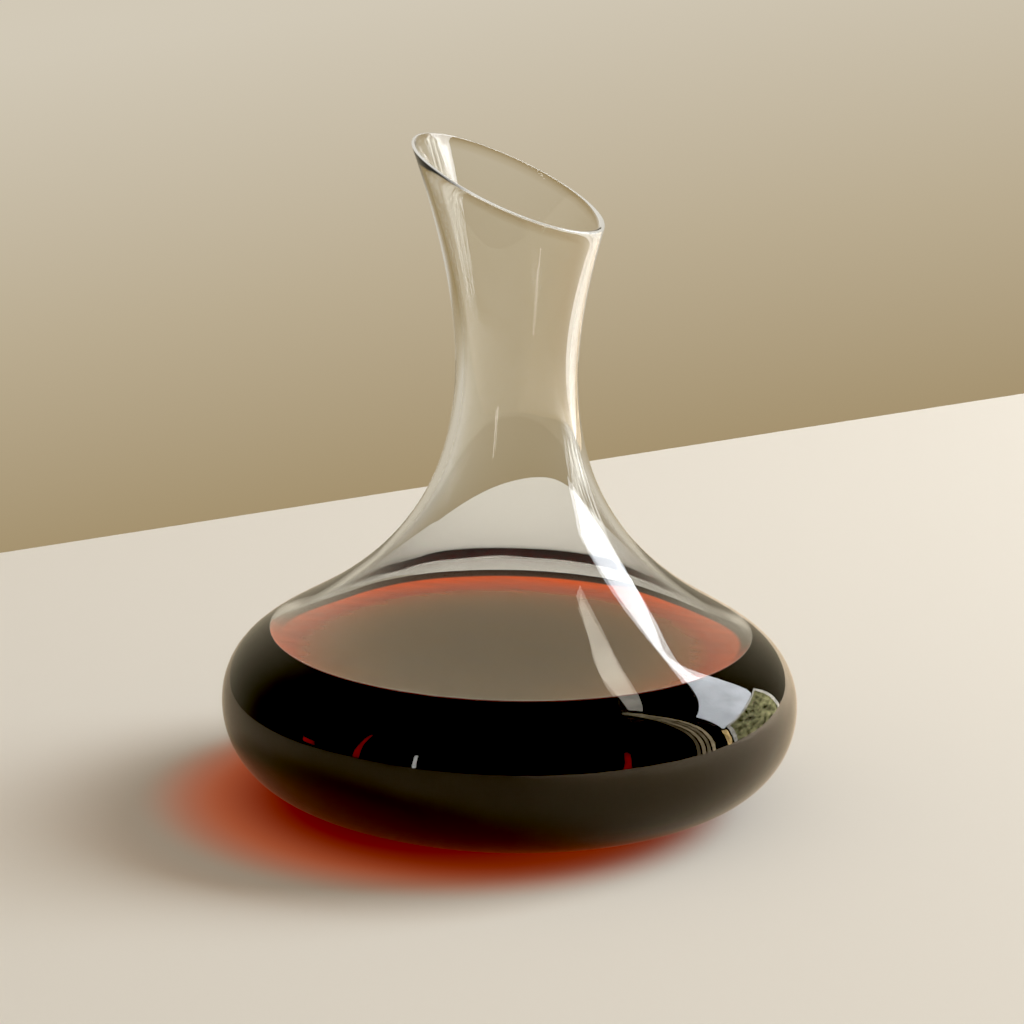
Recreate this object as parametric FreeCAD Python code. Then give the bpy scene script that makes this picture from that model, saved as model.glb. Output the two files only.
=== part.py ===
import FreeCAD, Part
import math
import os
from FreeCAD import Vector

# A blown wine decanter with a squat bowl, a waisted neck and a flared mouth cut on a slant, holding red wine.
# Millimetres. The origin is the centre of the foot on the table, +Z is up and the mouth dips towards +X.

# The outside of the wall is one smooth cubic curve. These are its control points (radius, height), from the
# foot to above the mouth, each with the thickness of the wall there: heavy in the foot, thin at the blown lip.
FOOT = (54.0, 0.0)
UNDER_BOWL = (68.0, 0.0)
HEEL = (92.0, 7.2)
BELLY = (103.0, 31.6)
UPPER_BOWL = (95.6, 54.8)
SHOULDER = (67.1, 68.3)
SHOULDER_TOP = (42.5, 87.2)
LOWER_NECK = (25.3, 113.2)
WAIST = (19.3, 147.0)
THROAT = (23.7, 186.0)
FLARE = (34.6, 221.6)
MOUTH = (41.6, 239.0)
WALL_CONTROLS = (
    (FOOT, 4.8),
    (UNDER_BOWL, 4.5),
    (HEEL, 3.6),
    (BELLY, 2.7),
    (UPPER_BOWL, 2.4),
    (SHOULDER, 2.4),
    (SHOULDER_TOP, 2.1),
    (LOWER_NECK, 2.5),
    (WAIST, 3.1),
    (THROAT, 2.4),
    (FLARE, 1.2),
    (MOUTH, 0.85),
)

# Underside: a flat ring to stand on, around a shallow push-up.
RING_INNER_RADIUS = 46.0
PUSH_UP_HEIGHT = 5.0
PUSH_UP_WALL = 5.5
LEVEL_FLOOR_RADIUS = 24.0

# Mouth: a flat cut through the flared neck, then a fire-polished lip.
MOUTH_CUT_HEIGHT = 212.8
MOUTH_CUT_SLOPE = 0.432
LIP_FILLET = 0.35

# Wine: its level, and the meniscus where it climbs the glass, an arc through a middle point.
WINE_LEVEL = 55.0
MENISCUS_RISE = 2.0
MENISCUS_REACH = 4.0
MENISCUS_MIDDLE_RISE = 0.6
MENISCUS_MIDDLE_REACH = 1.4

# Edge of the block that cuts the mouth, larger than the neck in every direction.
CUTTER_SIZE = 160.0


def in_section(radius, height):
    """A point of the half section, which lies in the XZ plane."""
    return Vector(radius, 0, height)


def cubic_through_controls(controls):
    """The cubic curve that starts and ends on its outer controls and is drawn towards the rest."""
    curve = Part.BSplineCurve()
    curve.buildFromPoles(controls)
    return curve


def outer_wall_curve():
    """The outside of the wall, level where it leaves the foot ring."""
    return cubic_through_controls([in_section(*place) for place, wall in WALL_CONTROLS])


def inner_wall_curve():
    """The inside, from the centre of the floor upwards: each control moved inwards by the wall there."""
    floor_height = PUSH_UP_HEIGHT + PUSH_UP_WALL
    controls = [in_section(0, floor_height), in_section(LEVEL_FLOOR_RADIUS, floor_height)]
    outside = [in_section(*place) for place, wall in WALL_CONTROLS]
    befores = outside[:1] + outside[:-1]
    afters = outside[1:] + outside[-1:]
    for before, point, after, (place, wall) in zip(befores, outside, afters, WALL_CONTROLS):
        along = (after - before).normalize()
        inwards = Vector(-along.z, 0, along.x)
        controls.append(point + inwards * wall)
    return cubic_through_controls(controls)


def push_up_arc():
    """The underside's hollow, one arc from the axis to the foot ring."""
    sphere = (RING_INNER_RADIUS ** 2 + PUSH_UP_HEIGHT ** 2) / (2 * PUSH_UP_HEIGHT)
    half_angle = math.asin(RING_INNER_RADIUS / sphere) / 2
    halfway_drop = sphere * (1 - math.cos(half_angle))
    halfway = in_section(sphere * math.sin(half_angle), PUSH_UP_HEIGHT - halfway_drop)
    return Part.Arc(in_section(0, PUSH_UP_HEIGHT), halfway, in_section(RING_INNER_RADIUS, 0))


def revolve(curves):
    """The solid of revolution about Z whose half section is outlined by the curves."""
    section = Part.Face(Part.Wire([curve.toShape() for curve in curves]))
    return section.revolve(Vector(0, 0, 0), Vector(0, 0, 1), 360)


def mouth_cutter():
    """A block whose lower face is the plane of the mouth, lowest towards +X."""
    half = CUTTER_SIZE / 2
    block = Part.makeBox(CUTTER_SIZE, CUTTER_SIZE, CUTTER_SIZE, Vector(-half, -half, 0))
    block.rotate(Vector(0, 0, 0), Vector(0, 1, 0), math.degrees(math.atan(MOUTH_CUT_SLOPE)))
    block.translate(Vector(0, 0, MOUTH_CUT_HEIGHT))
    return block


def is_in_mouth_plane(point):
    """Whether a point lies in the slanted plane of the mouth."""
    return abs(point.z - MOUTH_CUT_HEIGHT + MOUTH_CUT_SLOPE * point.x) < 1e-3


def lip_edges(vessel):
    """The two edges that the cut left around the mouth."""
    real_edges = [edge for edge in vessel.Edges if not edge.Degenerated]
    return [edge for edge in real_edges if all(is_in_mouth_plane(point) for point in edge.discretize(8))]


def glass_vessel():
    """The one-piece glass body: wall, foot ring, push-up and slanted lip."""
    outer = outer_wall_curve()
    inner = inner_wall_curve()
    outline = [
        push_up_arc(),
        Part.LineSegment(in_section(RING_INNER_RADIUS, 0), outer.StartPoint),
        outer,
        Part.LineSegment(outer.EndPoint, inner.EndPoint),
        inner,
        Part.LineSegment(inner.StartPoint, in_section(0, PUSH_UP_HEIGHT)),
    ]
    vessel = revolve(outline).cut(mouth_cutter())
    return vessel.makeFillet(LIP_FILLET, lip_edges(vessel))


def hollow():
    """The space inside the glass, closed flat above the mouth."""
    inner = inner_wall_curve()
    top_centre = in_section(0, inner.EndPoint.z)
    return revolve([
        inner,
        Part.LineSegment(inner.EndPoint, top_centre),
        Part.LineSegment(top_centre, inner.StartPoint),
    ])


def red_wine():
    """The wine: the hollow up to the wine's level, with its edge drawn up the glass."""
    cavity = hollow()
    glass_radius = cavity.slice(Vector(0, 0, 1), WINE_LEVEL)[0].BoundBox.XMax
    edge_height = WINE_LEVEL + MENISCUS_RISE
    level_centre = in_section(0, WINE_LEVEL)
    climb_start = in_section(glass_radius - MENISCUS_REACH, WINE_LEVEL)
    climb_middle = in_section(glass_radius - MENISCUS_MIDDLE_REACH, WINE_LEVEL + MENISCUS_MIDDLE_RISE)
    climb_end = in_section(glass_radius, edge_height)
    outside_top = in_section(BELLY[0], edge_height)
    outside_bottom = in_section(BELLY[0], 0)
    below_surface = revolve([
        Part.LineSegment(in_section(0, 0), level_centre),
        Part.LineSegment(level_centre, climb_start),
        Part.Arc(climb_start, climb_middle, climb_end),
        Part.LineSegment(climb_end, outside_top),
        Part.LineSegment(outside_top, outside_bottom),
        Part.LineSegment(outside_bottom, in_section(0, 0)),
    ])
    return cavity.common(below_surface)


def write_part(name, shape):
    """Writes one closed node as a STEP file in parts/."""
    if len(shape.Solids) != 1 or not shape.isValid():
        raise ValueError(name + " is not one valid solid")
    shape.Solids[0].exportStep(os.path.join("parts", name + ".step"))


os.makedirs("parts", exist_ok=True)
write_part("glass_vessel", glass_vessel())
write_part("red_wine", red_wine())
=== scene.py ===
import math

import bpy
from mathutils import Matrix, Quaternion, Vector


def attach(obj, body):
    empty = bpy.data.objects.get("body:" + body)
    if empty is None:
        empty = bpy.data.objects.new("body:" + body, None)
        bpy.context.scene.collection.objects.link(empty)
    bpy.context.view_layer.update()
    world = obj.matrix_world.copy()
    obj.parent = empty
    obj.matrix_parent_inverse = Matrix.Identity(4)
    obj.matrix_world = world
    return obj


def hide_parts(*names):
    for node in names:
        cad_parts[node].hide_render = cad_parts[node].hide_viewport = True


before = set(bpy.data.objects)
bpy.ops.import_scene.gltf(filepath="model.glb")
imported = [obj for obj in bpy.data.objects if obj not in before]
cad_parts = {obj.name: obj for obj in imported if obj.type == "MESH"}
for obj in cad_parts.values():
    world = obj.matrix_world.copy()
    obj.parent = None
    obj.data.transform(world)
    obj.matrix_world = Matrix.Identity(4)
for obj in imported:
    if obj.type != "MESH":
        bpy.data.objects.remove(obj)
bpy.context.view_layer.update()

# A blown wine decanter holding red wine, on a pale table in soft light from a window at the camera's right.
# The decanter is drawn in millimetres in the CAD's frame: the origin is the centre of the foot, +Z is up and
# the mouth dips towards +X. The stage and the materials are in metres.

MM = 0.001

# Outside of the wall: control points (radius, height) of one cubic curve, each with the wall's thickness.
WALL_CONTROLS = (
    ((54.0, 0.0), 4.8),
    ((68.0, 0.0), 4.5),
    ((92.0, 7.2), 3.6),
    ((103.0, 31.6), 2.7),
    ((95.6, 54.8), 2.4),
    ((67.1, 68.3), 2.4),
    ((42.5, 87.2), 2.1),
    ((25.3, 113.2), 2.5),
    ((19.3, 147.0), 3.1),
    ((23.7, 186.0), 2.4),
    ((34.6, 221.6), 1.2),
    ((41.6, 239.0), 0.85),
)
BELLY_HEIGHT = 34.0
BOWL_TOP = 75.0

# Underside: a flat ring to stand on, around a shallow push-up.
RING_INNER_RADIUS = 46.0
PUSH_UP_HEIGHT = 5.0
PUSH_UP_WALL = 5.5
LEVEL_FLOOR_RADIUS = 24.0

# The blown wall is thicker by this much in a band of the shoulder. Radii where the band sets in, abruptly on
# one side and gently all round the rest, and radii where it fades out again.
SHOULDER_SWELL = 0.9
SWELL_STARTS_ABRUPTLY = (56.0, 68.0)
SWELL_STARTS_GENTLY = (34.0, 84.0)
SWELL_ENDS = (86.0, 97.0)
ABRUPT_SIDE = math.radians(104)
ABRUPT_SIDE_FADES = (0.60, 0.85)

# Mouth: a plane through the flared neck.
MOUTH_CUT_HEIGHT = 212.8
MOUTH_CUT_SLOPE = 0.432

# Wine: its level, and its edge drawn up the glass by surface tension until it has turned this far from level.
WINE_LEVEL = 55.0
CAPILLARY_LENGTH = 2.2
CONTACT_TURN = math.radians(55)
LEVEL_TURN = math.radians(0.4)
WINE_GAP = 0.08

# Light in the wine's open top, painted in: strongest just inside the drawn-up edge, on one side. On that side
# the edge itself is darkened by painted shade, and it fades over these distances from the glass.
MENISCUS_WIDTH = 3.6
MENISCUS_SHADE_FADES = (0.7 * MENISCUS_WIDTH, 1.2 * MENISCUS_WIDTH)
MENISCUS_GLOW = 0.75
EDGE_GLOW_WIDTH = 12.0
EDGE_GLOW = 1.5
# The faint painted glow that the rest of the open top has.
WINE_TOP_FAINT_GLOW = 0.10
GLOWING_SIDE = math.radians(99)

# How strongly light bends in them.
GLASS_IOR = 1.5
WINE_IOR = 1.344

# How often a ray has bounced at most that is mirrored once, that reaches the wine through one wall, and that
# isn't trapped in the glass.
MIRRORED_ONCE = 1.5
THROUGH_ONE_WALL = 2.5
NOT_TRAPPED = 6.5

# How finely the meshes are divided.
SEGMENTS = 192
PUSH_UP_ROWS = 10
OUTER_ROWS = 120
LIP_ROWS = 8
DRY_ROWS = 170
WET_ROWS = 70
WINE_SIDE_ROWS = 100
MENISCUS_ROWS = 26
MENISCUS_BUNCHING = 1.5
LEVEL_ROWS = 12
BISECTIONS = 40
ANGLES = [2 * math.pi * k / SEGMENTS for k in range(SEGMENTS)]

# The photo's camera: where it looks from, in the decanter's frame, and how it is held.
VIEW_AZIMUTH = math.radians(19.2)
VIEW_ELEVATION = math.radians(13.93)
VIEW_DISTANCE = 1.2093
VIEW_HEIGHT = 0.1005
VIEW_ROLL = math.radians(1.26)
VIEW_LENS = 123.5
SENSOR_WIDTH = 36.0
AIM_LEFT = 0.00055

# Table: its sides, its near edge, and its far edge, which runs aslant behind the decanter.
TABLE_LEFT = -2.4
TABLE_RIGHT = 3.4
TABLE_NEAR = -3.0
TABLE_FAR = 0.484
TABLE_FAR_SLOPE = 0.776

# Red light that falls on the table through the wine: its middle, and how far from there it fades and deepens.
# It is darkest in the shadow close to the foot.
RED_LIGHT_RIGHT = -0.025
RED_LIGHT_AWAY = -0.010
RED_LIGHT_FADES = (0.106, 0.072)
RED_LIGHT_DEEPENS = (0.092, 0.047)
FOOT_SHADOW_DEEPENS = (0.106, 0.072)

# Trapped light shows in the wall of the neck above this height.
PIPED_LIGHT_START = 0.15


# ---------------------------------------------------------------- places seen from the camera

def seen_from_camera(right, away, up):
    """A place to the camera's right, away from the camera and up, turned into the decanter's frame."""
    cos, sin = math.cos(VIEW_AZIMUTH), math.sin(VIEW_AZIMUTH)
    return Vector((right * cos - away * sin, right * sin + away * cos, up))


def direction(azimuth, elevation):
    """A direction in degrees: azimuth to the right of straight away from the camera, and elevation."""
    azimuth, elevation = math.radians(azimuth), math.radians(elevation)
    flat = math.cos(elevation)
    return seen_from_camera(flat * math.sin(azimuth), flat * math.cos(azimuth), math.sin(elevation))


# ---------------------------------------------------------------- curves of the wall

def blend(low, high, value):
    """Smooth step from 0 at low to 1 at high."""
    share = min(max((value - low) / (high - low), 0.0), 1.0)
    return share * share * (3 - 2 * share)


def last_where(holds, low, high):
    """The largest value for which a test holds that holds at low and fails at high."""
    for _ in range(BISECTIONS):
        middle = (low + high) / 2
        if holds(middle):
            low = middle
        else:
            high = middle
    return (low + high) / 2


def cubic_point(controls, t):
    """The point at t (0 to 1) of the clamped cubic curve over these controls, with evenly spaced knots."""
    spans = len(controls) - 3
    u = min(max(t, 0.0), 1.0) * spans
    span = min(int(u), spans - 1)
    knots = [0.0] * 3 + [float(k) for k in range(spans + 1)] + [float(spans)] * 3
    points = [list(controls[span + k]) for k in range(4)]
    for level in range(1, 4):
        for k in range(3, level - 1, -1):
            left = knots[span + k]
            right = knots[span + k + 4 - level]
            share = (u - left) / (right - left)
            points[k] = [(1 - share) * a + share * b for a, b in zip(points[k - 1], points[k])]
    return points[3]


def inner_controls():
    """Control points of the inside, from the centre of the floor up: the outside's, moved in by the wall."""
    floor_height = PUSH_UP_HEIGHT + PUSH_UP_WALL
    controls = [(0.0, floor_height), (LEVEL_FLOOR_RADIUS, floor_height)]
    places = [place for place, wall in WALL_CONTROLS]
    befores = places[:1] + places[:-1]
    afters = places[1:] + places[-1:]
    for before, place, after, (_, wall) in zip(befores, places, afters, WALL_CONTROLS):
        along = Vector((after[0] - before[0], after[1] - before[1])).normalized()
        controls.append((place[0] - along.y * wall, place[1] + along.x * wall))
    return controls


OUTER = [place for place, wall in WALL_CONTROLS]
INNER = inner_controls()
OUTER_SPANS = len(OUTER) - 3
INNER_SPANS = len(INNER) - 3
RING_MIDDLE_RADIUS = (RING_INNER_RADIUS + OUTER[0][0]) / 2


def outer_at(spans_from_top):
    """Radius and height of the outside, at a place counted in curve spans down from the top."""
    return cubic_point(OUTER, 1 - spans_from_top / OUTER_SPANS)


def inner_at(spans_from_top):
    """Radius and height of the inside, counted the same way, so that it faces the outside point."""
    return cubic_point(INNER, 1 - spans_from_top / INNER_SPANS)


def swollen_inner_at(spans_from_top, angle=0.0):
    """The inside with the swell of the shoulder added. Where the wine's edge is, it is the same all round."""
    radius, height = inner_at(spans_from_top)
    if height < BELLY_HEIGHT:
        return radius, height
    abruptness = blend(*ABRUPT_SIDE_FADES, math.cos(angle - ABRUPT_SIDE))
    starts = [
        gentle + (abrupt - gentle) * abruptness
        for gentle, abrupt in zip(SWELL_STARTS_GENTLY, SWELL_STARTS_ABRUPTLY)
    ]
    swell = SHOULDER_SWELL * (blend(*starts, radius) - blend(*SWELL_ENDS, radius))
    return radius, height - swell


def lip_place(angle):
    """How many spans down from the top the rounded lip starts, so that it just touches the mouth's plane."""
    def cut_away(spans):
        outside, inside = outer_at(spans), inner_at(spans)
        radius = (outside[0] + inside[0]) / 2
        height = (outside[1] + inside[1]) / 2
        half_wall = math.dist(outside, inside) / 2
        return height + half_wall > MOUTH_CUT_HEIGHT - MOUTH_CUT_SLOPE * radius * math.cos(angle)
    return last_where(cut_away, 0.0, OUTER_SPANS)


def meniscus_rise(turn):
    """Height above the level, where surface tension has turned the surface this far from level."""
    return 2 * CAPILLARY_LENGTH * math.sin(turn / 2)


def meniscus_reach(turn):
    """How far from the wall that happens, up to a constant."""
    return -CAPILLARY_LENGTH * (math.log(math.tan(turn / 4)) + 2 * math.cos(turn / 2))


def contact_place():
    """How many spans down from the top the wine's edge meets the glass."""
    contact_height = WINE_LEVEL + meniscus_rise(CONTACT_TURN)
    return last_where(lambda spans: swollen_inner_at(spans)[1] > contact_height, 0.0, INNER_SPANS)


CONTACT_PLACE = contact_place()


# ---------------------------------------------------------------- meshes

def add_to_scene(name, data):
    """A new object with this mesh or camera."""
    made = bpy.data.objects.new(name, data)
    bpy.context.scene.collection.objects.link(made)
    return made


def on_axis(height):
    """A row that is a single point on Z."""
    return [(0, 0, height)]


def ring(places):
    """A row round Z with one place (radius, height) for each angle."""
    return [
        (radius * math.cos(angle), radius * math.sin(angle), height)
        for angle, (radius, height) in zip(ANGLES, places)
    ]


def level_ring(radius, height):
    """A level, round row."""
    return ring([(radius, height)] * SEGMENTS)


def lathe(name, rows):
    """A closed, smooth mesh over rows that run from one point on the axis to another."""
    faces = []
    start = 0
    for row, next_row in zip(rows, rows[1:]):
        next_start = start + len(row)
        for k in range(SEGMENTS):
            after = (k + 1) % SEGMENTS
            if len(row) == 1:
                faces.append((start, next_start + after, next_start + k))
            elif len(next_row) == 1:
                faces.append((start + k, start + after, next_start))
            else:
                faces.append((start + k, start + after, next_start + after, next_start + k))
        start = next_start
    mesh = bpy.data.meshes.new(name)
    mesh.from_pydata([Vector(point) * MM for row in rows for point in row], [], faces)
    mesh.validate()
    mesh.polygons.foreach_set("use_smooth", [True] * len(mesh.polygons))
    mesh.update()
    return add_to_scene(name, mesh)


def underside_rows():
    """The push-up's hollow, from its centre out, and the ring that the decanter stands on."""
    sphere = (RING_INNER_RADIUS ** 2 + PUSH_UP_HEIGHT ** 2) / (2 * PUSH_UP_HEIGHT)
    rows = [on_axis(PUSH_UP_HEIGHT)]
    for k in range(1, PUSH_UP_ROWS + 1):
        radius = RING_INNER_RADIUS * k / PUSH_UP_ROWS
        drop = sphere - math.sqrt(sphere ** 2 - radius ** 2)
        rows.append(level_ring(radius, PUSH_UP_HEIGHT - drop))
    rows.append(level_ring(RING_MIDDLE_RADIUS, 0.0))
    return rows


def outside_rows(lips):
    """The outside of the wall, from the foot up to the lip."""
    rows = []
    for k in range(OUTER_ROWS + 1):
        share = 1 - k / OUTER_ROWS
        rows.append(ring([outer_at(lip + (OUTER_SPANS - lip) * share) for lip in lips]))
    return rows


def lip_rows(lips):
    """The rounded lip: half a turn over the wall, from its outside to its inside."""
    rows = []
    for k in range(1, LIP_ROWS):
        turn = math.pi * k / LIP_ROWS
        places = []
        for lip in lips:
            outside, inside = Vector(outer_at(lip)), Vector(inner_at(lip))
            middle = (outside + inside) / 2
            across = outside - middle
            up = Vector((-across.y, across.x))
            places.append(middle + across * math.cos(turn) + up * math.sin(turn))
        rows.append(ring(places))
    return rows


def dry_inside_rows(lips):
    """The inside of the wall, from the lip down to just above the wine's edge."""
    rows = []
    for k in range(DRY_ROWS):
        share = k / DRY_ROWS
        rows.append(ring([
            swollen_inner_at(lip + (CONTACT_PLACE - lip) * share, angle)
            for angle, lip in zip(ANGLES, lips)
        ]))
    return rows


def wet_inside_rows():
    """The inside of the wall, from the wine's edge down to the centre of the floor."""
    rows = []
    for k in range(WET_ROWS):
        place = CONTACT_PLACE + (INNER_SPANS - CONTACT_PLACE) * (k / WET_ROWS)
        rows.append(ring([swollen_inner_at(place, angle) for angle in ANGLES]))
    rows.append(on_axis(PUSH_UP_HEIGHT + PUSH_UP_WALL))
    return rows


def make_vessel():
    """The glass, one closed mesh, with another material where the wine wets it."""
    lips = [lip_place(angle) for angle in ANGLES]
    dry = underside_rows() + outside_rows(lips) + lip_rows(lips) + dry_inside_rows(lips)
    vessel = lathe("decanter_glass", dry + wet_inside_rows())
    vessel.data.materials.append(glass_material())
    vessel.data.materials.append(wetted_material())
    first_wet_face = SEGMENTS * len(dry)
    is_wet = [int(k >= first_wet_face) for k in range(len(vessel.data.polygons))]
    vessel.data.polygons.foreach_set("material_index", is_wet)
    return vessel


def wine_side_rows():
    """The wine's underside and side, from the centre up to its edge, a hair away from the glass."""
    rows = [on_axis(inner_at(INNER_SPANS)[1] + WINE_GAP)]
    for k in range(1, WINE_SIDE_ROWS + 1):
        share = k / WINE_SIDE_ROWS
        radius, height = swollen_inner_at(INNER_SPANS + (CONTACT_PLACE - INNER_SPANS) * share)
        rows.append(level_ring(radius - WINE_GAP, height + WINE_GAP / 2))
    return rows


def wine_top_rows(edge_radius):
    """The wine's open top, from its drawn-up edge to the centre."""
    rows = []
    for k in range(1, MENISCUS_ROWS + 1):
        turn = CONTACT_TURN * (1 - k / MENISCUS_ROWS) ** MENISCUS_BUNCHING + LEVEL_TURN
        reach = meniscus_reach(turn) - meniscus_reach(CONTACT_TURN)
        rows.append(level_ring(edge_radius - reach, WINE_LEVEL + meniscus_rise(turn)))
    level_radius = edge_radius - reach
    for k in range(1, LEVEL_ROWS):
        rows.append(level_ring(level_radius * (1 - k / LEVEL_ROWS), WINE_LEVEL))
    rows.append(on_axis(WINE_LEVEL))
    return rows


def towards_glow(point):
    """1 on the side of the open top that glows most, -1 on the opposite side."""
    lit_side = Vector((math.cos(GLOWING_SIDE), math.sin(GLOWING_SIDE)))
    return point.xy.normalized().dot(lit_side) if point.xy.length else 0.0


def edge_shade(point, edge_radius):
    """How much painted shade darkens the drawn-up edge here. It shows on the side that glows, where it faces
    the camera.
    """
    inwards = edge_radius - point.xy.length
    on_edge = 1 - blend(*MENISCUS_SHADE_FADES, inwards)
    return on_edge * blend(-0.3, 0.3, towards_glow(point))


def edge_glow(point, edge_radius):
    """How strongly the open top glows here: most just inside the drawn-up edge."""
    inwards = edge_radius - point.xy.length
    fading = math.exp(-max(inwards - MENISCUS_WIDTH, 0) / EDGE_GLOW_WIDTH)
    glow = EDGE_GLOW * fading * (0.5 + 0.5 * towards_glow(point)) + WINE_TOP_FAINT_GLOW
    drawn_up = 1 - blend(0, MENISCUS_WIDTH, inwards)
    return max(glow, MENISCUS_GLOW * drawn_up) * (1 - edge_shade(point, edge_radius))


def make_wine():
    """The wine, one closed mesh, with what its material has to know about the open top."""
    side = wine_side_rows()
    edge_radius = swollen_inner_at(CONTACT_PLACE)[0] - WINE_GAP
    wine = lathe("wine_body", side + wine_top_rows(edge_radius))
    wine.data.materials.append(wine_material())
    first_top_face = SEGMENTS * (len(side) - 1)
    is_top = [float(k >= first_top_face) for k in range(len(wine.data.polygons))]
    wine.data.attributes.new("open_surface", "FLOAT", "FACE").data.foreach_set("value", is_top)
    first_top_point = 1 + first_top_face
    for name, look in (("edge_glow", edge_glow), ("edge_shade", edge_shade)):
        top = [look(vertex.co / MM, edge_radius) for vertex in wine.data.vertices[first_top_point:]]
        attribute = wine.data.attributes.new(name, "FLOAT", "POINT")
        attribute.data.foreach_set("value", [0.0] * first_top_point + top)
    return wine


# ---------------------------------------------------------------- nodes

class Graph:
    """The nodes of one material or world. Most calls add a node and return the output to go on from."""

    def __init__(self, owner):
        owner.use_nodes = True
        self.nodes = owner.node_tree.nodes
        self.links = owner.node_tree.links
        self.nodes.clear()

    def add(self, kind, inputs=None, **settings):
        """A node whose inputs are given as numbers, colours or the outputs of other nodes."""
        node = self.nodes.new("ShaderNode" + kind)
        for name, value in settings.items():
            setattr(node, name, value)
        for name, value in (inputs or {}).items():
            if isinstance(value, bpy.types.NodeSocket):
                self.links.new(value, node.inputs[name])
            else:
                node.inputs[name].default_value = value
        return node

    def calculate(self, operation, first, second, clamp=False):
        return self.add("Math", {0: first, 1: second}, operation=operation, use_clamp=clamp).outputs[0]

    def product(self, first, *others):
        for other in others:
            first = self.calculate("MULTIPLY", first, other)
        return first

    def vector_math(self, operation, *inputs, output="Vector"):
        return self.add("VectorMath", dict(enumerate(inputs)), operation=operation).outputs[output]

    def dot(self, place, towards):
        return self.vector_math("DOT_PRODUCT", place, towards, output="Value")

    def map_range(self, value, start=0.0, end=1.0, low=0.0, high=1.0, smooth=False):
        """Low to high as the value goes from start to end, and level beyond them."""
        inputs = {"Value": value, "From Min": start, "From Max": end, "To Min": low, "To Max": high}
        kind = "SMOOTHSTEP" if smooth else "LINEAR"
        return self.add("MapRange", inputs, interpolation_type=kind).outputs[0]

    def mix_colours(self, share, first, second):
        mix = self.add("Mix", data_type="RGBA")
        for name, value in (("Factor", share), ("A", first), ("B", second)):
            if isinstance(value, bpy.types.NodeSocket):
                self.links.new(value, mix.inputs[name])
            else:
                mix.inputs[name].default_value = (*value, 1)
        return mix.outputs["Result"]

    def mix_shaders(self, share, first, second):
        return self.add("MixShader", {0: share, 1: first, 2: second}).outputs[0]

    def colour_ramp(self, value, stops):
        """A colour for each value from -1 to 1, between stops given as pairs of value and colour."""
        ramp = self.add("ValToRGB", {0: self.map_range(value, -1.0, 1.0)})
        elements = ramp.color_ramp.elements
        while len(elements) < len(stops):
            elements.new(0.5)
        for element, (place, colour) in zip(elements, stops):
            element.position = (place + 1) / 2
            element.color = (*colour, 1)
        return ramp.outputs[0]

    def noise(self, per_metre, detail, stretch=(1, 1, 1)):
        """Noise fixed to the object, with this many patches per metre, stretched along the axes."""
        mapping = self.add("Mapping", {"Vector": self.object_place(), "Scale": stretch})
        inputs = {"Vector": mapping.outputs[0], "Scale": per_metre, "Detail": detail}
        return self.add("TexNoise", inputs).outputs["Fac"]

    def object_place(self):
        return self.add("TexCoord").outputs["Object"]

    def ray(self, name):
        return self.add("LightPath").outputs[name]

    def geometry(self, name):
        return self.add("NewGeometry").outputs[name]

    def height(self, place):
        return self.add("SeparateXYZ", {0: place}).outputs["Z"]

    def attribute(self, name):
        return self.add("Attribute", attribute_name=name).outputs["Fac"]

    def glow(self, colour, strength):
        return self.add("Emission", {"Color": (*colour, 1), "Strength": strength}).outputs[0]

    def clear(self, tint=(1, 1, 1)):
        return self.add("BsdfTransparent", {"Color": (*tint, 1)}).outputs[0]

    def principled(self, inputs):
        return self.add("BsdfPrincipled", inputs).outputs[0]

    def finish(self, surface, **others):
        """Makes this the material's surface, and others its volume, if given."""
        self.add("OutputMaterial", {"Surface": surface, **others})


def new_material(name):
    """An empty material and its graph."""
    material = bpy.data.materials.new(name)
    return material, Graph(material)


def lets_lamps_through(graph, surface, tint):
    """The surface for every ray but a lamp's, which passes straight on with a tint."""
    return graph.mix_shaders(graph.ray("Is Shadow Ray"), surface, graph.clear(tint))


def mirrored_only(graph):
    """1 for a ray that comes straight from a mirror reflection, 0 for one that has just passed through."""
    glossy, passed = graph.ray("Is Glossy Ray"), graph.ray("Is Transmission Ray")
    return graph.calculate("SUBTRACT", glossy, passed, clamp=True)


# ---------------------------------------------------------------- glass and wine

def piped_light(graph):
    """Light trapped in the wall of the neck: where it shows, and its cream glow on the window's side."""
    place = graph.geometry("Position")
    trapped = graph.calculate("GREATER_THAN", graph.ray("Ray Depth"), NOT_TRAPPED)
    in_neck = graph.calculate("GREATER_THAN", graph.height(place), PIPED_LIGHT_START)
    towards_window = graph.dot(place, seen_from_camera(1, 0.35, 0))
    strength = graph.map_range(towards_window, start=-0.032, end=-0.027, low=0.04)
    return graph.product(trapped, in_neck), graph.glow((0.79, 0.76, 0.69), strength)


def glass_material():
    """Blown glass: clear, faintly uneven where it was turned, with a trace of handling marks."""
    material, graph = new_material("clear_glass")
    waves = graph.noise(26.0, 1.0, (1, 1, 0.55))
    bumps = graph.add("Bump", {"Strength": 0.35, "Distance": 0.0006, "Height": waves})
    glass = graph.principled({
        "Base Color": (0.985, 0.99, 0.98, 1),
        "IOR": GLASS_IOR,
        "Transmission Weight": 1.0,
        "Roughness": graph.map_range(graph.noise(55.0, 5.0), start=0.55, end=0.75, high=0.035),
        "Normal": bumps.outputs[0],
    })
    piped_share, piped_glow = piped_light(graph)
    body = graph.mix_shaders(piped_share, glass, piped_glow)
    graph.finish(lets_lamps_through(graph, body, (0.93, 0.93, 0.92)))
    material.cycles.emission_sampling = "NONE"
    return material


def wetted_material():
    """The inside of the glass under the wine: the wine's own surface is where light bends."""
    material, graph = new_material("wetted_glass")
    graph.finish(graph.clear())
    return material


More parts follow.
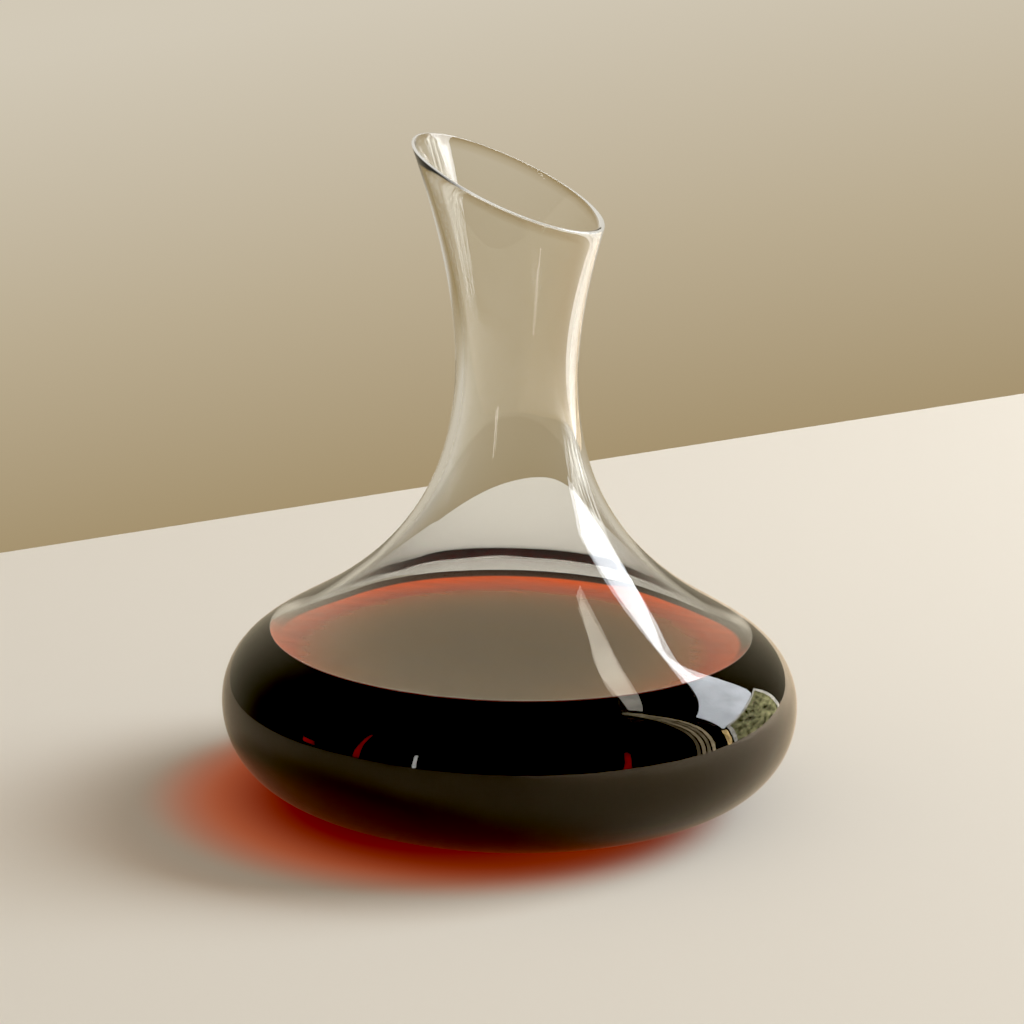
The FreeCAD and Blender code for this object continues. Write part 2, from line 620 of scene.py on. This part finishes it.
def liquid(graph):
    """Wine that tints light and bends it, as from air at its open top and as from glass elsewhere."""
    open_surface = graph.attribute("open_surface")
    return graph.principled({
        "Base Color": (0.30, 0.012, 0.008, 1),
        "Roughness": 0.0,
        "Transmission Weight": 1.0,
        "IOR": graph.map_range(open_surface, low=WINE_IOR / GLASS_IOR, high=WINE_IOR),
    })


def painted_wine_glow(graph):
    """Painted light through thin wine: a lit, glowing layer, brown where the glow is faint, orange-red
    towards its edge.
    """
    redness = graph.map_range(graph.attribute("edge_glow"), start=WINE_TOP_FAINT_GLOW, end=0.45)
    hue = graph.mix_colours(redness, (0.78, 0.45, 0.12), (0.92, 0.14, 0.035))
    return graph.principled({
        "Base Color": hue,
        "Roughness": 1.0,
        "Specular IOR Level": 0.0,
        "Emission Color": hue,
        "Emission Strength": 0.22,
    })


def wine_material():
    """Red wine: it takes up most light, glows with painted light where it thins at its edge, and has painted
    shade where it climbs.
    """
    material, graph = new_material("red_wine")
    seen_directly = graph.calculate("LESS_THAN", graph.ray("Ray Depth"), THROUGH_ONE_WALL)
    # Share of the painted glow: uneven in patches, stronger aslant, and only where the wine is seen through
    # one wall.
    glow_patches = graph.map_range(graph.noise(60.0, 4.0, (1, 3, 1)), start=0.3, end=0.7, low=0.85, high=1.15)
    aslant = graph.add("LayerWeight").outputs["Facing"]
    painted_glow_share = graph.product(graph.attribute("edge_glow"), glow_patches, aslant, seen_directly)
    body = graph.mix_shaders(painted_glow_share, liquid(graph), painted_wine_glow(graph))
    # Painted shade: a dark layer over the drawn-up edge, on the side that glows.
    painted_shade_share = graph.product(graph.attribute("edge_shade"), seen_directly, 0.8)
    dark = graph.add("BsdfDiffuse", {"Color": (0.09, 0.04, 0.02, 1)}).outputs[0]
    body = graph.mix_shaders(painted_shade_share, body, dark)
    inside = graph.add("VolumeAbsorption", {"Color": (0.76, 0.45, 0.0, 1), "Density": 220.0})
    graph.finish(lets_lamps_through(graph, body, (1, 1, 1)), Volume=inside.outputs[0])
    material.cycles.emission_sampling = "NONE"
    return material


# ---------------------------------------------------------------- table and room

def mirrored_cloth(graph, place):
    """The cloth as the glass mirrors it: warmer, and brighter towards the window."""
    towards_window = graph.dot(place, seen_from_camera(1, 0, 0))
    brightness = graph.map_range(towards_window, start=0.0, end=0.30, low=0.75, high=1.7)
    return graph.vector_math("MULTIPLY", brightness, (0.83, 0.66, 0.46))


def table_material():
    """Plain pale cloth, with the red light that comes through the wine beside the bowl."""
    material, graph = new_material("pale_cloth")
    place = graph.object_place()
    red_light_centre = seen_from_camera(RED_LIGHT_RIGHT, RED_LIGHT_AWAY, 0)
    apart = graph.vector_math("DISTANCE", place, red_light_centre, output="Value")
    lit_red = graph.map_range(apart, *RED_LIGHT_FADES, smooth=True)
    depth = graph.map_range(apart, *RED_LIGHT_DEEPENS)
    from_foot = graph.vector_math("LENGTH", place, output="Value")
    in_shadow = graph.map_range(from_foot, *FOOT_SHADOW_DEEPENS, smooth=True)
    reddened = graph.mix_colours(in_shadow, (0.80, 0.30, 0.16), (0.34, 0.03, 0.01))
    cloth = graph.mix_colours(lit_red, (0.83, 0.765, 0.67), reddened)
    graph.finish(graph.principled({
        "Base Color": graph.mix_colours(mirrored_only(graph), cloth, mirrored_cloth(graph, place)),
        "Roughness": 0.9,
        "Emission Color": graph.mix_colours(depth, (0.22, 0.035, 0.012), (0.09, 0.0, 0.0)),
        "Emission Strength": lit_red,
    }))
    material.cycles.emission_sampling = "NONE"
    return material


def make_table():
    """The table that the decanter stands on."""
    mesh = bpy.data.meshes.new("floor")
    corners = [
        seen_from_camera(TABLE_LEFT, TABLE_NEAR, 0),
        seen_from_camera(TABLE_RIGHT, TABLE_NEAR, 0),
        seen_from_camera(TABLE_RIGHT, TABLE_FAR + TABLE_RIGHT * TABLE_FAR_SLOPE, 0),
        seen_from_camera(TABLE_LEFT, TABLE_FAR + TABLE_LEFT * TABLE_FAR_SLOPE, 0),
    ]
    mesh.from_pydata(corners, [], [(0, 1, 2, 3)])
    mesh.materials.append(table_material())
    return add_to_scene("floor", mesh)


def make_world():
    """What is round the table: a plain wall that lights softly, and a dark room in mirrors."""
    world = bpy.data.worlds.new("room")
    bpy.context.scene.world = world
    graph = Graph(world)
    outwards = graph.add("TexCoord").outputs["Generated"]
    wall = graph.colour_ramp(graph.dot(outwards, seen_from_camera(-0.166, 0, 1)), (
        (-0.25, (0.34, 0.25, 0.125)),
        (-0.17, (0.50, 0.42, 0.29)),
        (-0.09, (0.65, 0.59, 0.48)),
        (0.25, (0.60, 0.54, 0.43)),
        (1.00, (0.66, 0.62, 0.55)),
    ))
    room = graph.colour_ramp(graph.dot(outwards, seen_from_camera(0, 1, 0)), (
        (-1.0, (0.010, 0.008, 0.006)),
        (0.0, (0.012, 0.010, 0.007)),
        (0.5, (0.10, 0.085, 0.05)),
        (1.0, (0.45, 0.39, 0.28)),
    ))
    wall_strength = graph.map_range(graph.ray("Is Diffuse Ray"), low=1.0, high=0.55)
    seen = graph.add("Background", {"Color": wall, "Strength": wall_strength}).outputs[0]
    mirrored = graph.add("Background", {"Color": room}).outputs[0]
    graph.add("OutputWorld", {"Surface": graph.mix_shaders(mirrored_only(graph), seen, mirrored)})


# ---------------------------------------------------------------- light panels

def bowl_reflections(graph):
    """1 for a ray that the camera sees mirrored in the outside of the bowl, 0 for every other ray."""
    first = graph.calculate("LESS_THAN", graph.ray("Ray Depth"), MIRRORED_ONCE)
    place, back = graph.geometry("Position"), graph.geometry("Incoming")
    mirrored_at = graph.vector_math("MULTIPLY_ADD", back, graph.ray("Ray Length"), place)
    on_bowl = graph.calculate("LESS_THAN", graph.height(mirrored_at), BOWL_TOP * MM)
    return graph.product(first, on_bowl)


def panel_material(
    name, colour, strength, uneven,
    patches=3.0, stretch=(1, 1, 1), spread=0.2, mirrored=1.0, in_bowl_only=False,
):
    """Light, brighter and darker in soft patches. It can be dimmer in mirrors or show in the bowl only."""
    material, graph = new_material(name)
    noise = graph.noise(patches, 3.0, stretch)
    darkest, brightest = strength * (1 - uneven), strength * (1 + uneven)
    light = graph.map_range(noise, 0.5 - spread, 0.5 + spread, darkest, brightest)
    dimming = graph.map_range(graph.ray("Is Glossy Ray"), low=1.0, high=mirrored)
    surface = graph.glow(colour, graph.product(light, dimming))
    if in_bowl_only:
        surface = graph.mix_shaders(bowl_reflections(graph), graph.clear(), surface)
    graph.finish(surface)
    return material


def make_panel(name, corners, distance, material, lights=False):
    """A flat light panel that the camera can't see. Its corners are given as azimuth and elevation."""
    rays = [direction(azimuth, elevation) for azimuth, elevation in corners]
    facing = sum(rays, Vector()).normalized()
    places = [ray * (distance / ray.dot(facing)) for ray in rays]
    mesh = bpy.data.meshes.new(name)
    mesh.from_pydata(places, [], [tuple(range(len(places)))])
    mesh.materials.append(material)
    panel = add_to_scene(name, mesh)
    panel.visible_camera = False
    panel.visible_shadow = False
    panel.visible_diffuse = lights


def make_windows():
    """The window and the high window, which light the scene, and a slit of a window behind the camera."""
    make_panel(
        "window", ((54, 22), (39, 47), (87, 36), (86, 16)), 3.0,
        panel_material("window_light", (0.92, 0.955, 1.0), 13.5, 0.15, mirrored=0.55), lights=True,
    )
    make_panel(
        "high_window", ((36, 58.5), (38, 65), (90, 62), (90, 57)), 2.2,
        panel_material("high_window_light", (1.0, 0.93, 0.80), 3.4, 0.3), lights=True,
    )
    make_panel(
        "back_window", ((-145.2, 0.3), (-145.2, 16), (-143.8, 16), (-143.8, 0.3)), 2.2,
        panel_material("back_window_light", (1.0, 0.97, 0.92), 7.0, 0.1),
    )


def make_garden():
    """The garden in its frame, for the bowl's mirror, and a sheer curtain behind it, for the neck's."""
    outline = ((47, 0), (50.5, 22), (84, 17), (84, 0))
    make_panel(
        "sheer_curtain", outline, 2.6,
        panel_material("sheer_curtain_light", (0.86, 0.88, 0.86), 2.4, 1.0, 11.0, (1, 1, 0.03), 0.05),
    )
    make_panel(
        "garden", ((49, 0), (52, 21), (82, 16), (82, 0)), 2.4,
        panel_material("garden_light", (0.42, 0.40, 0.20), 3.6, 0.95, 7.0, in_bowl_only=True),
    )
    make_panel(
        "garden_frame", outline, 2.5,
        panel_material("garden_frame_light", (0.84, 0.80, 0.70), 5.0, 0.3, 8.0, in_bowl_only=True),
    )


def make_curtain():
    """The folds of a curtain beside the window, and its lit edge."""
    for fold, strength in enumerate((4.4, 2.2, 3.4, 1.3)):
        foot = 94 + 2.7 * fold
        top = 95 + 1.1 * fold
        make_panel(
            "curtain_fold_" + str(fold + 1), ((foot, 0), (top, 62), (top + 0.8, 62), (foot + 1.9, 0)), 2.3,
            panel_material("curtain_light", (0.90, 0.72, 0.46), strength, 0.3, 6.0, in_bowl_only=True),
        )
    upright = (1, 1, 0.002)
    make_panel(
        "curtain_edge", ((85.3, 0), (85.3, 15), (88, 15), (88, 0)), 2.3,
        panel_material("curtain_edge_light", (0.90, 0.62, 0.28), 7.0, 0.6, 20.0, upright, in_bowl_only=True),
    )


def make_red_glints():
    """Painted red glints: red panels that only the bowl mirrors, standing in for red light through the wine.
    """
    for name, corners in (
        ("red_glint_1", ((-102, 0.5), (-101, 4), (-95, 5), (-96, 0.5))),
        ("red_glint_2", ((-119, 0.5), (-121, 30), (-122, 30), (-122, 0.5))),
        ("red_glint_3", ((133, 0.5), (132, 20), (134, 20), (136, 0.5))),
    ):
        light = panel_material(name + "_light", (1.0, 0.03, 0.03), 2.6, 0.5, in_bowl_only=True)
        make_panel(name, corners, 2.3, light)


# ---------------------------------------------------------------- camera and picture

def make_camera():
    """The photo's camera."""
    data = bpy.data.cameras.new("camera")
    data.lens = VIEW_LENS
    data.sensor_width = SENSOR_WIDTH
    camera = add_to_scene("camera", data)
    away = VIEW_DISTANCE * math.cos(VIEW_ELEVATION)
    back = seen_from_camera(0, -away, VIEW_DISTANCE * math.sin(VIEW_ELEVATION))
    camera.location = seen_from_camera(-AIM_LEFT, 0, VIEW_HEIGHT) + back
    camera.rotation_mode = "QUATERNION"
    straight = (-back).to_track_quat("-Z", "Y")
    camera.rotation_quaternion = straight @ Quaternion((0, 0, 1), VIEW_ROLL)
    bpy.context.scene.camera = camera


def set_picture():
    """Plain colours, and enough bounces for light to get through glass, wine and glass again."""
    bounces = 24
    view = bpy.context.scene.view_settings
    view.view_transform = "Standard"
    view.use_curve_mapping = True
    view.curve_mapping.black_level = (0.010, 0.010, 0.010)
    view.curve_mapping.update()
    cycles = bpy.context.scene.cycles
    cycles.use_denoising = True
    cycles.max_bounces = bounces
    cycles.transmission_bounces = bounces
    cycles.transparent_max_bounces = bounces
    cycles.glossy_bounces = bounces // 2
    cycles.caustics_refractive = False
    cycles.caustics_reflective = False


for piece, part, look in (
    (make_vessel(), "glass_vessel", "clear_glass"),
    (make_wine(), "red_wine", "red_wine"),
):
    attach(piece, "root")
    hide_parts(part)

make_table()
make_world()
make_windows()
make_garden()
make_curtain()
make_red_glints()
make_camera()
set_picture()
